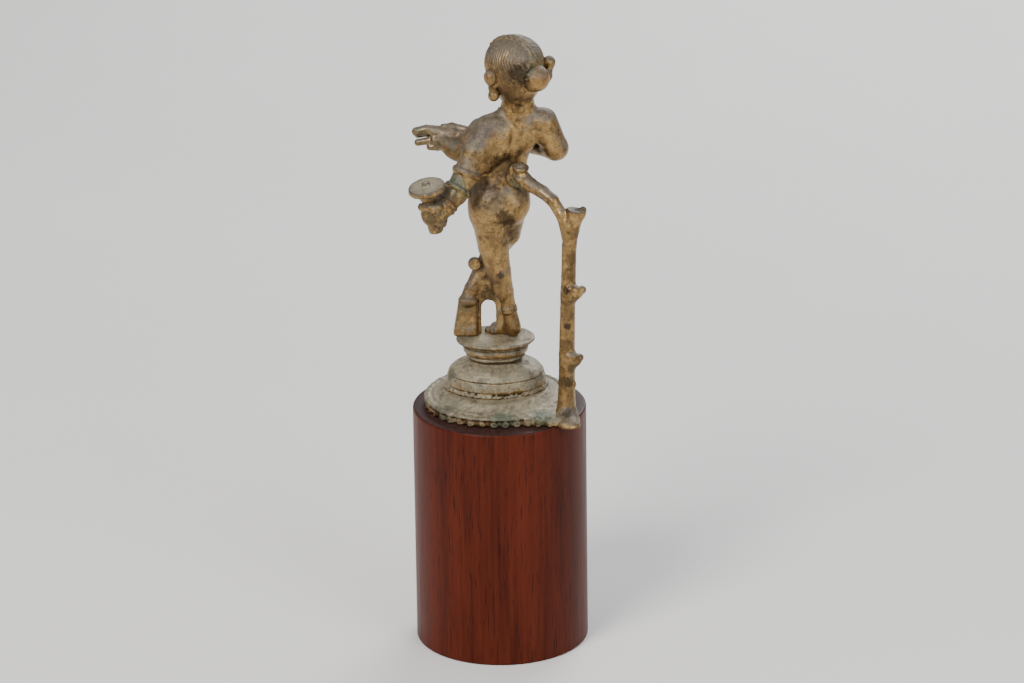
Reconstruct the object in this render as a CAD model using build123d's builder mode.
from build123d import *
import math
import os

# A cast-brass standing figure with four arms, on a lotus plinth, a bell-shaped tier and a
# scalloped foot plate, with a lopped tree beside it whose branch is brazed to the figure's
# waist. It stands on a turned hardwood cylinder. Millimetres, +Z up. The origin is the centre
# of the wood's underside, and the figure's chest faces -Y.

# ---- driving dimensions ----
INCH = 25.4
BASE_R = 3.5 * INCH / 2  # turned hardwood base, 3.5 in across
BASE_H = 5.0 * INCH  # and 5 in tall
BASE_EDGE_R = 1.2  # eased top edge
BASE_FOOT_CHAMFER = 0.6

ROD_R = 3.0  # M6 rod that pulls the casting down on the wood
ROD_CLEAR_R = 3.3
NUT_ACROSS_FLATS = 10.0
NUT_H = 5.0
WASHER_R = 9.0
WASHER_T = 1.6
COUNTERBORE_R = 10.0
COUNTERBORE_H = 10.0
ROD_FOOT = COUNTERBORE_H - WASHER_T - NUT_H - 1.0
PIN_R = 1.5
PIN_IN_WOOD = 7.0
PIN_IN_PLATE = 4.0
PIN_SPREAD = 56.0

STATUE_X = 1.5  # centre line of plinth and bell
STATUE_Y = -4.0
OVAL = 0.8  # depth over width of plinth and bell

PLATE_X = 1.5
PLATE_Y = -2.0
PLATE_R = 35.6  # valleys of the scalloped edge
PLATE_H = 9.0
SCALLOPS = 38
SCALLOP_R = 2.6
SCALLOP_CENTRE_R = 34.6
SCALLOP_H = 4.6

BELL_H = 15.0
BELL_R = 25.7
RING_R = 27.2  # rough beaded ring under the bell
RING_SEAT_R = 24.0
RING_H = 1.5
PLINTH_H = 11.5
PLINTH_R = 19.8
SPIGOT_R = 6.5
SPIGOT_H = 6.0
ROD_IN_PLINTH = 3.0

PLATE_TOP = BASE_H + PLATE_H
BELL_TOP = PLATE_TOP + BELL_H
PLINTH_TOP = BELL_TOP + PLINTH_H

TREE_X = -34.3  # trunk at its foot
TREE_Y = 22.5
TENON_R = 2.2
TENON_H = 5.0

HIP_CUT = 62.0  # height above the plinth where legs meet torso
HEAD_TURN = 40.0  # degrees towards the figure's left
FACE_TAPER = 0.004  # how much a station set forward on the face slims, per mm

# ---- stations: x, y, height above the plinth, radius ----
STANDING_LEG = [
    (4.4, -4.6, 64.0, 8.4),
    (2.0, -4.0, 49.0, 7.75),
    (-0.6, -3.5, 35.0, 6.2),
    (-3.7, -4.0, 24.5, 4.25),
    (-5.3, -4.3, 15.5, 3.8),
    (-7.2, -4.8, 5.5, 4.1),
]
STANDING_FOOT = [(-7.4, -5.4, 3.2, 3.5), (-1.5, -10.4, 2.8, 3.3), (3.2, -14.2, 1.7, 2.3)]
CROSSED_LEG = [
    (-6.4, -7.2, 63.0, 7.7),
    (-4.6, -10.5, 54.0, 7.2),
    (2.0, -14.5, 42.0, 5.8),
    (7.5, -12.5, 33.5, 4.7),
    (13.2, -9.5, 24.0, 3.9),
    (16.0, -7.8, 18.0, 3.7),
]
BACK_LEFT_ARM = [
    (5.0, -2.5, 112.5, 7.0),
    (11.0, 3.5, 103.0, 6.2),
    (16.0, 7.5, 89.5, 5.6),
    (21.0, 11.5, 82.5, 5.5),
    (26.5, 15.0, 77.0, 5.0),
    (31.0, 17.6, 74.6, 6.2),
]
FRONT_LEFT_ARM = [
    (8.0, -9.0, 110.0, 5.6),
    (16.0, -12.5, 98.5, 5.2),
    (25.5, -18.0, 102.5, 3.9),
    (31.5, -20.0, 103.0, 3.3),
]
FRONT_LEFT_FINGERS = [
    [(32.0, -21.5, 103.6, 1.9), (41.0, -22.0, 104.2, 1.6)],
    [(32.0, -19.4, 101.4, 1.8), (39.8, -20.0, 100.2, 1.4)],
    [(30.0, -17.6, 101.2, 1.8), (34.5, -18.0, 99.0, 1.5)],
]
BACK_RIGHT_ARM = [
    (-24.0, -5.0, 115.0, 7.2),
    (-30.0, -6.2, 100.5, 6.4),
    (-19.5, -17.0, 99.0, 5.0),
    (-7.0, -22.5, 101.5, 3.9),
    (-1.0, -23.8, 103.5, 4.2),
]
FRONT_RIGHT_ARM = [
    (-20.0, -10.5, 112.0, 5.4),
    (-25.0, -18.5, 107.8, 4.5),
    (-16.5, -26.0, 109.5, 3.6),
    (-13.0, -27.2, 114.5, 3.9),
]
TRUNK = [
    (-34.3, 22.5, -29.0, 4.7),
    (-34.5, 22.5, 0.0, 4.4),
    (-35.0, 22.5, 24.0, 4.1),
    (-36.4, 22.5, 58.0, 4.2),
    (-38.0, 22.5, 71.0, 4.4),
]
TREE_STUBS = [
    [(-38.5, 22.5, 71.0, 3.8), (-42.6, 22.5, 78.0, 3.3)],
    [(-36.0, 22.5, 31.0, 3.4), (-43.0, 22.5, 37.5, 2.7)],
    [(-35.5, 22.5, -6.0, 3.4), (-41.6, 22.5, 0.5, 2.7)],
]
BRANCH = [
    (-12.7, 5.6, 95.2, 2.5),
    (-12.9, 6.2, 89.0, 2.9),
    (-16.5, 8.5, 86.4, 3.7),
    (-23.0, 13.0, 84.2, 3.6),
    (-28.3, 17.0, 80.6, 3.5),
    (-33.0, 21.0, 74.0, 3.4),
    (-36.0, 22.5, 66.0, 3.3),
]

# ---- outlines of the oval tiers: height above the tier's foot, half width ----
BELL_OUTLINE = [
    (0.0, RING_SEAT_R),
    (RING_H, RING_SEAT_R),
    (RING_H + 0.2, BELL_R - 0.4),
    (4.2, BELL_R),
    (7.2, BELL_R - 0.5),
    (7.6, BELL_R - 1.2),
    (8.1, BELL_R - 1.0),
    (10.3, BELL_R - 3.3),
    (13.0, BELL_R - 7.2),
    (14.5, BELL_R - 11.2),
    (BELL_H, BELL_R - 15.7),
]
PLINTH_OUTLINE = [
    (0.0, 9.4),
    (0.6, 9.4),
    (0.8, 15.0),
    (2.2, 15.3),
    (2.8, 14.0),
    (3.2, 16.2),
    (7.0, 16.8),
    (7.6, 15.4),
    (9.4, PLINTH_R - 0.7),
    (10.6, PLINTH_R),
    (PLINTH_H, PLINTH_R - 0.6),
]
# torso: x, y, height above the plinth, half width, half depth
TORSO = [
    (-0.7, -5.4, HIP_CUT, 13.5, 8.8),
    (-1.2, -4.6, 69.0, 14.9, 10.0),
    (-1.4, -4.6, 77.0, 15.3, 10.2),
    (-3.2, -5.2, 85.0, 13.0, 8.6),
    (-6.0, -6.0, 93.5, 9.8, 7.2),
    (-7.6, -6.0, 103.0, 12.0, 8.2),
    (-8.5, -5.6, 112.0, 14.8, 8.6),
    (-9.8, -5.5, 119.5, 12.0, 7.0),
    (-10.9, -5.5, 124.0, 7.6, 6.0),
    (-11.2, -5.5, 128.5, 6.6, 5.8),
]
# head: cranium, and jaw and nose set forward of it along the way the face looks
CRANIUM = (-9.6, -5.0, 146.4, 14.2)
JAW = (-9.6, -5.0, 136.2, 8.8)
JAW_FORWARD = 3.6
NOSE = (-9.6, -5.0, 140.5, 1.6)
NOSE_FORWARD = 13.2
EAR_KNOB = (-27.2, -3.2, 147.0, 3.2)
EAR_ROOT = (-21.5, -4.4, 146.5)
EAR_TAIL = (-25.2, -0.6, 138.0, 1.2)
LEFT_EAR = [(2.0, -2.6, 139.5, 2.4), (1.0, -1.2, 131.6, 2.5)]
BUN = (-20.0, 4.6, 142.0, 6.2)
NECKLACE = (-10.6, -6.4, 121.6)
NECKLACE_R = 9.8
NECKLACE_OVAL = 0.88
NECKLACE_H = 2.4


def at(station):
    """A station's centre in the part's frame."""
    return Vector(station[0], station[1], PLINTH_TOP + station[2])


def between(start, end):
    """The plane at start that faces end."""
    return Plane(origin=at(start), z_dir=at(end) - at(start))


def towards_face(station, distance):
    """A station moved the way the face looks."""
    turn = math.radians(HEAD_TURN)
    x = station[0] + distance * math.sin(turn)
    y = station[1] - distance * math.cos(turn)
    return (x, y, station[2], station[3] * (1.0 - FACE_TAPER * distance))


def limb(stations):
    """Round stations, poles along the limb, joined by slightly slimmer tapered lengths."""
    places = [between(start, end) for start, end in zip(stations, stations[1:])]
    last = Plane(origin=at(stations[-1]), z_dir=places[-1].z_dir)
    for place, station in zip(places + [last], stations):
        with Locations(place):
            Sphere(station[3])
    for place, start, end in zip(places, stations, stations[1:]):
        with Locations(place):
            Cone(SLIM * start[3], SLIM * end[3], (at(end) - at(start)).length, align=UPRIGHT)


def between_cuts():
    """Trim the open part to the height between the plinth's top and the hip cut."""
    with Locations((0, 0, PLINTH_TOP)):
        Box(BASE_R, BASE_R, HIP_CUT, align=UPRIGHT, mode=Mode.INTERSECT)


def cuff(start, end, along, radius, height):
    """A short drum round a limb, centred part way from start to end, in the open part."""
    place = between(start, end)
    middle = at(start) + (at(end) - at(start)) * along
    with Locations(Plane(origin=middle, z_dir=place.z_dir)):
        Cylinder(radius, height)


def write(piece, name):
    """Label a finished piece and write its STEP file."""
    piece.part.label = name
    export_step(piece.part, "parts/" + name + ".step")


SLIM = 0.98
UPRIGHT = (Align.CENTER, Align.CENTER, Align.MIN)
HANGING = (Align.CENTER, Align.CENTER, Align.MAX)
BEHIND = (Align.CENTER, Align.MIN, Align.CENTER)
STATUE = (STATUE_X, STATUE_Y)
PIN_PLACES = [(PLATE_X - PIN_SPREAD / 2, PLATE_Y), (PLATE_X + PIN_SPREAD / 2, PLATE_Y)]
STANDING_TENON = (-7.0, -5.6)
CROSSED_TENON = (16.0, -7.4)
os.makedirs("parts", exist_ok=True)

# ---- wood base: plain cylinder, drilled through for the rod, pinned to the plate ----
with BuildPart() as wood_base:
    with BuildSketch(Plane.XY):
        Circle(BASE_R)
    extrude(amount=BASE_H)
    fillet(wood_base.edges().group_by(Axis.Z)[-1], BASE_EDGE_R)
    chamfer(wood_base.edges().group_by(Axis.Z)[0], BASE_FOOT_CHAMFER)
    with BuildSketch(Plane.XY):
        with Locations(STATUE):
            Circle(COUNTERBORE_R)
    extrude(amount=COUNTERBORE_H, mode=Mode.SUBTRACT)
    with BuildSketch(Plane.XY.offset(COUNTERBORE_H)):
        with Locations(STATUE):
            Circle(ROD_CLEAR_R)
    extrude(amount=BASE_H - COUNTERBORE_H, mode=Mode.SUBTRACT)
    with BuildSketch(Plane.XY.offset(BASE_H)):
        with Locations(*PIN_PLACES):
            Circle(PIN_R)
    extrude(amount=-PIN_IN_WOOD, mode=Mode.SUBTRACT)
write(wood_base, "wood_base")

# ---- M6 rod, washer and nut in the counterbore ----
with BuildPart() as threaded_rod:
    with BuildSketch(Plane.XY.offset(ROD_FOOT)):
        with Locations(STATUE):
            Circle(ROD_R)
    extrude(amount=BELL_TOP + ROD_IN_PLINTH - ROD_FOOT)
    chamfer(threaded_rod.edges().group_by(Axis.Z)[0], 0.5)
write(threaded_rod, "threaded_rod")

with BuildPart() as rod_washer:
    with BuildSketch(Plane.XY.offset(COUNTERBORE_H - WASHER_T)):
        with Locations(STATUE):
            Circle(WASHER_R)
            Circle(ROD_CLEAR_R, mode=Mode.SUBTRACT)
    extrude(amount=WASHER_T)
write(rod_washer, "rod_washer")

with BuildPart() as rod_nut:
    with BuildSketch(Plane.XY.offset(COUNTERBORE_H - WASHER_T - NUT_H)):
        with Locations(STATUE):
            RegularPolygon(NUT_ACROSS_FLATS / 2, 6, major_radius=False)
            Circle(ROD_R, mode=Mode.SUBTRACT)
    extrude(amount=NUT_H)
write(rod_nut, "rod_nut")

# ---- two locating pins between wood and foot plate ----
with BuildPart() as locating_pins:
    with BuildSketch(Plane.XY.offset(BASE_H - PIN_IN_WOOD)):
        with Locations(*PIN_PLACES):
            Circle(PIN_R)
    extrude(amount=PIN_IN_WOOD + PIN_IN_PLATE)
write(locating_pins, "locating_pins")

# ---- tree trunk: round trunk on a spreading foot that leans over the wood's edge ----
with BuildPart() as tree_trunk:
    limb(TRUNK)
    with BuildSketch(Plane.XY.offset(BASE_H)):
        with Locations((TREE_X - 0.8, TREE_Y + 5.0)):
            Ellipse(5.6, 9.6)
    with BuildSketch(Plane.XY.offset(BASE_H + 3.0)):
        with Locations((TREE_X - 0.6, TREE_Y + 4.4)):
            Ellipse(5.5, 8.8)
    with BuildSketch(Plane.XY.offset(BASE_H + 9.0)):
        with Locations((TREE_X, TREE_Y)):
            Ellipse(4.5, 4.5)
    loft()
    split(bisect_by=Plane.XY.offset(BASE_H), keep=Keep.TOP)
write(tree_trunk, "tree_trunk")

# ---- foot plate: low cone with a scalloped edge and a tongue to the tree's foot ----
with BuildPart() as foot_plate:
    with BuildSketch(Plane.XZ.offset(-PLATE_Y)):
        with BuildLine():
            Polyline(
                (PLATE_X, BASE_H),
                (PLATE_X + PLATE_R, BASE_H),
                (PLATE_X + PLATE_R, BASE_H + SCALLOP_H),
                (PLATE_X + PLATE_R - 2.4, BASE_H + SCALLOP_H + 0.9),
                (PLATE_X + PLATE_R - 3.4, BASE_H + SCALLOP_H + 0.3),
                (PLATE_X + RING_R + 0.6, PLATE_TOP),
                (PLATE_X, PLATE_TOP),
                close=True,
            )
        make_face()
    revolve(axis=Axis((PLATE_X, PLATE_Y, 0), (0, 0, 1)))
    with Locations(Location((PLATE_X, PLATE_Y, BASE_H))):
        with PolarLocations(SCALLOP_CENTRE_R, SCALLOPS):
            Cylinder(SCALLOP_R, SCALLOP_H, align=UPRIGHT)
    with BuildSketch(Plane.XY.offset(BASE_H)):
        with BuildLine():
            Polyline((-12.0, 31.5), (-28.6, 34.8), (-36.0, 33.0), (-37.8, 20.0), (-31.0, 8.0))
            Line((-31.0, 8.0), (-8.0, 12.0))
            Line((-8.0, 12.0), (-12.0, 31.5))
        make_face()
    extrude(amount=SCALLOP_H)
    add(tree_trunk.part, mode=Mode.SUBTRACT)
    with BuildSketch(Plane.XY.offset(BASE_H)):
        with Locations(STATUE):
            Circle(ROD_CLEAR_R)
    extrude(amount=PLATE_H, mode=Mode.SUBTRACT)
    with BuildSketch(Plane.XY.offset(BASE_H)):
        with Locations(*PIN_PLACES):
            Circle(PIN_R)
    extrude(amount=PIN_IN_PLATE, mode=Mode.SUBTRACT)
write(foot_plate, "foot_plate")

# ---- rough beaded ring trapped under the bell ----
with BuildPart() as bead_ring:
    with BuildSketch(Plane.XY.offset(PLATE_TOP)):
        with Locations(STATUE):
            Ellipse(RING_R, RING_R * OVAL)
            Ellipse(RING_SEAT_R, RING_SEAT_R * OVAL, mode=Mode.SUBTRACT)
    extrude(amount=RING_H)
write(bead_ring, "bead_ring")

# ---- bell-shaped tier, with a socket for the plinth's spigot ----
with BuildPart() as bell_tier:
    for height, half_width in BELL_OUTLINE:
        with BuildSketch(Plane.XY.offset(PLATE_TOP + height)):
            with Locations(STATUE):
                Ellipse(half_width, half_width * OVAL)
    loft(ruled=True)
    with BuildSketch(Plane.XY.offset(PLATE_TOP)):
        with Locations(STATUE):
            Circle(ROD_CLEAR_R)
    extrude(amount=BELL_H, mode=Mode.SUBTRACT)
    with BuildSketch(Plane.XY.offset(BELL_TOP)):
        with Locations(STATUE):
            Circle(SPIGOT_R)
    extrude(amount=-SPIGOT_H, mode=Mode.SUBTRACT)
write(bell_tier, "bell_tier")

# ---- lotus plinth: band and flaring top disc on a tapped spigot ----
with BuildPart() as lotus_plinth:
    for height, half_width in PLINTH_OUTLINE:
        with BuildSketch(Plane.XY.offset(BELL_TOP + height)):
            with Locations(STATUE):
                Ellipse(half_width, half_width * OVAL)
    loft(ruled=True)
    with BuildSketch(Plane.XY.offset(BELL_TOP)):
        with Locations(STATUE):
            Circle(SPIGOT_R)
    extrude(amount=-SPIGOT_H)
    with BuildSketch(Plane.XY.offset(BELL_TOP - SPIGOT_H)):
        with Locations(STATUE):
            Circle(ROD_R)
    extrude(amount=SPIGOT_H + ROD_IN_PLINTH, mode=Mode.SUBTRACT)
    with BuildSketch(Plane.XY.offset(PLINTH_TOP)):
        with Locations(STANDING_TENON, CROSSED_TENON):
            Circle(TENON_R)
    extrude(amount=-TENON_H, mode=Mode.SUBTRACT)
write(lotus_plinth, "lotus_plinth")

# ---- torso with the neck ----
with BuildPart() as torso:
    for x, y, height, half_width, half_depth in TORSO:
        with BuildSketch(Plane.XY.offset(PLINTH_TOP + height)):
            with Locations((x, y)):
                Ellipse(half_width, half_depth)
    loft()

# ---- standing leg, the figure's left, on a splayed foot with a tenon in the plinth ----
with BuildPart() as standing_leg:
    limb(STANDING_LEG)
    limb(STANDING_FOOT)
    between_cuts()
    with Locations((*STANDING_TENON, PLINTH_TOP)):
        Cylinder(TENON_R, TENON_H, align=HANGING)
write(standing_leg, "standing_leg")

# ---- crossed leg, the figure's right, its foot upright on the toes ----
with BuildPart() as crossed_leg:
    limb(CROSSED_LEG)
    between_cuts()
    with BuildSketch(Plane.XY.offset(PLINTH_TOP)):
        with Locations(CROSSED_TENON):
            RectangleRounded(12.0, 8.0, 2.5)
    with BuildSketch(Plane.XY.offset(PLINTH_TOP + 17.5)):
        with Locations((15.6, -7.0)):
            RectangleRounded(10.5, 6.6, 2.5)
    loft()
    with Locations((*CROSSED_TENON, PLINTH_TOP)):
        Cylinder(TENON_R, TENON_H, align=HANGING)
    add(standing_leg.part, mode=Mode.SUBTRACT)
write(crossed_leg, "crossed_leg")

# ---- casting web between the lower legs, with an arched opening ----
with BuildPart() as leg_web:
    with BuildSketch(Plane.XZ.offset(7.0)):
        with BuildLine():
            Polyline(
                (11.0, PLINTH_TOP),
                (11.4, PLINTH_TOP + 19.0),
                (7.4, PLINTH_TOP + 29.0),
                (-1.5, PLINTH_TOP + 29.0),
                (-3.6, PLINTH_TOP),
                (1.2, PLINTH_TOP),
                (1.6, PLINTH_TOP + 14.0),
            )
            ThreePointArc(
                (1.6, PLINTH_TOP + 14.0), (5.0, PLINTH_TOP + 18.6), (8.4, PLINTH_TOP + 14.0)
            )
            Polyline((8.4, PLINTH_TOP + 14.0), (8.8, PLINTH_TOP), (11.0, PLINTH_TOP))
        make_face()
    extrude(amount=3.0)
    add(standing_leg.part, mode=Mode.SUBTRACT)
    add(crossed_leg.part, mode=Mode.SUBTRACT)
write(leg_web, "leg_web")

# ---- round knob where the crossed leg passes the standing knee ----
with BuildPart() as knee_knob:
    with Locations(Location((12.0, -7.0, PLINTH_TOP + 38.6), (90, 0, 0))):
        Cylinder(4.5, 5.0)
    fillet(knee_knob.edges().filter_by(GeomType.CIRCLE), 1.4)
    add(standing_leg.part, mode=Mode.SUBTRACT)
    add(crossed_leg.part, mode=Mode.SUBTRACT)
write(knee_knob, "knee_knob")

# ---- anklet of the standing leg ----
with BuildPart() as anklet:
    cuff(STANDING_LEG[3], STANDING_LEG[4], 0.9, 4.8, 2.6)
    add(standing_leg.part, mode=Mode.SUBTRACT)
    add(leg_web.part, mode=Mode.SUBTRACT)
write(anklet, "anklet")

# ---- pleated panel that hangs in front of the hips ----
with BuildPart() as front_sash:
    with BuildSketch(Plane.XY.offset(PLINTH_TOP + 48.0)):
        with Locations((-1.5, -15.5)):
            RectangleRounded(7.0, 8.0, 1.5)
    with BuildSketch(Plane.XY.offset(PLINTH_TOP + 76.0)):
        with Locations((-1.5, -11.5)):
            RectangleRounded(10.0, 9.0, 1.5)
    loft()
    add(torso.part, mode=Mode.SUBTRACT)
    add(standing_leg.part, mode=Mode.SUBTRACT)
    add(crossed_leg.part, mode=Mode.SUBTRACT)
write(front_sash, "front_sash")

# ---- hand drum held upright in the lowered hand ----
DRUM_FOOT = (30.2, 14.2, 64.5, 0)
DRUM_TOP = (35.3, 23.2, 90.5, 0)
DRUM_LENGTH = (at(DRUM_TOP) - at(DRUM_FOOT)).length
with BuildPart() as hand_drum:
    with Locations(between(DRUM_FOOT, DRUM_TOP)):
        Cone(3.9, 2.6, 9.0, align=UPRIGHT)
        Cylinder(2.6, DRUM_LENGTH - 8.0, align=UPRIGHT)
    with Locations(between(DRUM_TOP, DRUM_FOOT)):
        Cylinder(9.3, 2.2, align=UPRIGHT)
    with Locations(Plane(origin=at(DRUM_TOP), z_dir=at(DRUM_FOOT) - at(DRUM_TOP)).offset(2.2)):
        Cone(9.0, 2.7, 7.6, align=UPRIGHT)
write(hand_drum, "hand_drum")

# ---- arms, each a chain of round stations cut by what it grows from ----
with BuildPart() as arm_back_left:
    limb(BACK_LEFT_ARM)
    add(torso.part, mode=Mode.SUBTRACT)
    add(hand_drum.part, mode=Mode.SUBTRACT)
write(arm_back_left, "arm_back_left")

with BuildPart() as arm_front_left:
    limb(FRONT_LEFT_ARM)
    for finger in FRONT_LEFT_FINGERS:
        limb(finger)
    add(torso.part, mode=Mode.SUBTRACT)
    add(arm_back_left.part, mode=Mode.SUBTRACT)
write(arm_front_left, "arm_front_left")

with BuildPart() as arm_back_right:
    limb(BACK_RIGHT_ARM)
    add(torso.part, mode=Mode.SUBTRACT)
write(arm_back_right, "arm_back_right")

with BuildPart() as arm_front_right:
    limb(FRONT_RIGHT_ARM)
    add(torso.part, mode=Mode.SUBTRACT)
    add(arm_back_right.part, mode=Mode.SUBTRACT)
write(arm_front_right, "arm_front_right")

# ---- bands on the lowered arm ----
with BuildPart() as elbow_band:
    cuff(BACK_LEFT_ARM[1], BACK_LEFT_ARM[2], 0.84, 6.9, 2.4)
    add(arm_back_left.part, mode=Mode.SUBTRACT)
    add(torso.part, mode=Mode.SUBTRACT)
write(elbow_band, "elbow_band")

with BuildPart() as forearm_band:
    cuff(BACK_LEFT_ARM[2], BACK_LEFT_ARM[3], 0.62, 6.7, 2.4)
    add(arm_back_left.part, mode=Mode.SUBTRACT)
write(forearm_band, "forearm_band")

with BuildPart() as wrist_rings:
    cuff(BACK_LEFT_ARM[3], BACK_LEFT_ARM[4], 0.72, 5.9, 1.3)
    cuff(BACK_LEFT_ARM[3], BACK_LEFT_ARM[4], 1.0, 5.8, 1.3)
    add(arm_back_left.part, mode=Mode.SUBTRACT)
write(wrist_rings, "wrist_rings")

# ---- head, turned to the figure's left: cranium, jaw and a small nose ----
with BuildPart() as head:
    limb([CRANIUM, towards_face(JAW, JAW_FORWARD)])
    limb([towards_face(NOSE, NOSE_FORWARD - 1.5), towards_face(NOSE, NOSE_FORWARD)])
    add(torso.part, mode=Mode.SUBTRACT)
write(head, "head")

# ---- hair bun and ear ornaments ----
with BuildPart() as hair_bun:
    with Locations(between(BUN, CRANIUM)):
        Sphere(BUN[3])
    add(head.part, mode=Mode.SUBTRACT)
write(hair_bun, "hair_bun")

with BuildPart() as ear_ornament_right:
    with Locations(at(EAR_KNOB)):
        Sphere(EAR_KNOB[3])
    with Locations(between(EAR_KNOB, EAR_ROOT)):
        Cylinder(2.1, 6.0, align=UPRIGHT)
    with Locations(between(EAR_KNOB, EAR_TAIL)):
        Cone(1.7, EAR_TAIL[3], 9.5, align=UPRIGHT)
    add(head.part, mode=Mode.SUBTRACT)
write(ear_ornament_right, "ear_ornament_right")

with BuildPart() as ear_ornament_left:
    limb(LEFT_EAR)
    add(head.part, mode=Mode.SUBTRACT)
    add(torso.part, mode=Mode.SUBTRACT)
write(ear_ornament_left, "ear_ornament_left")

# ---- collar necklace across the front of the neck ----
with BuildPart() as necklace:
    with BuildSketch(Plane.XY.offset(PLINTH_TOP + NECKLACE[2])):
        with Locations(NECKLACE[:2]):
            Ellipse(NECKLACE_R, NECKLACE_R * NECKLACE_OVAL)
    extrude(amount=NECKLACE_H)
    with Locations(at(NECKLACE)):
        Box(BASE_R, BASE_R, BASE_R, align=BEHIND, mode=Mode.SUBTRACT)
    add(torso.part, mode=Mode.SUBTRACT)
    add(head.part, mode=Mode.SUBTRACT)
write(necklace, "necklace")

# ---- lopped stubs on the trunk ----
with BuildPart() as tree_stubs:
    for stub in TREE_STUBS:
        with Locations(between(stub[0], stub[1])):
            Cone(stub[0][3], stub[1][3], (at(stub[1]) - at(stub[0])).length, align=UPRIGHT)
    add(tree_trunk.part, mode=Mode.SUBTRACT)
write(tree_stubs, "tree_stubs")

# ---- curved branch from the trunk to the waist, and its two end rings ----
with BuildPart() as tree_branch:
    limb(BRANCH)
    add(tree_trunk.part, mode=Mode.SUBTRACT)
    add(tree_stubs.part, mode=Mode.SUBTRACT)
    add(torso.part, mode=Mode.SUBTRACT)
write(tree_branch, "tree_branch")

with BuildPart() as branch_rings:
    with Locations((-12.7, 5.8, PLINTH_TOP + 93.4), (-12.9, 6.0, PLINTH_TOP + 89.4)):
        Cylinder(3.8, 2.4)
    add(tree_branch.part, mode=Mode.SUBTRACT)
    add(torso.part, mode=Mode.SUBTRACT)
write(branch_rings, "branch_rings")

write(torso, "torso")
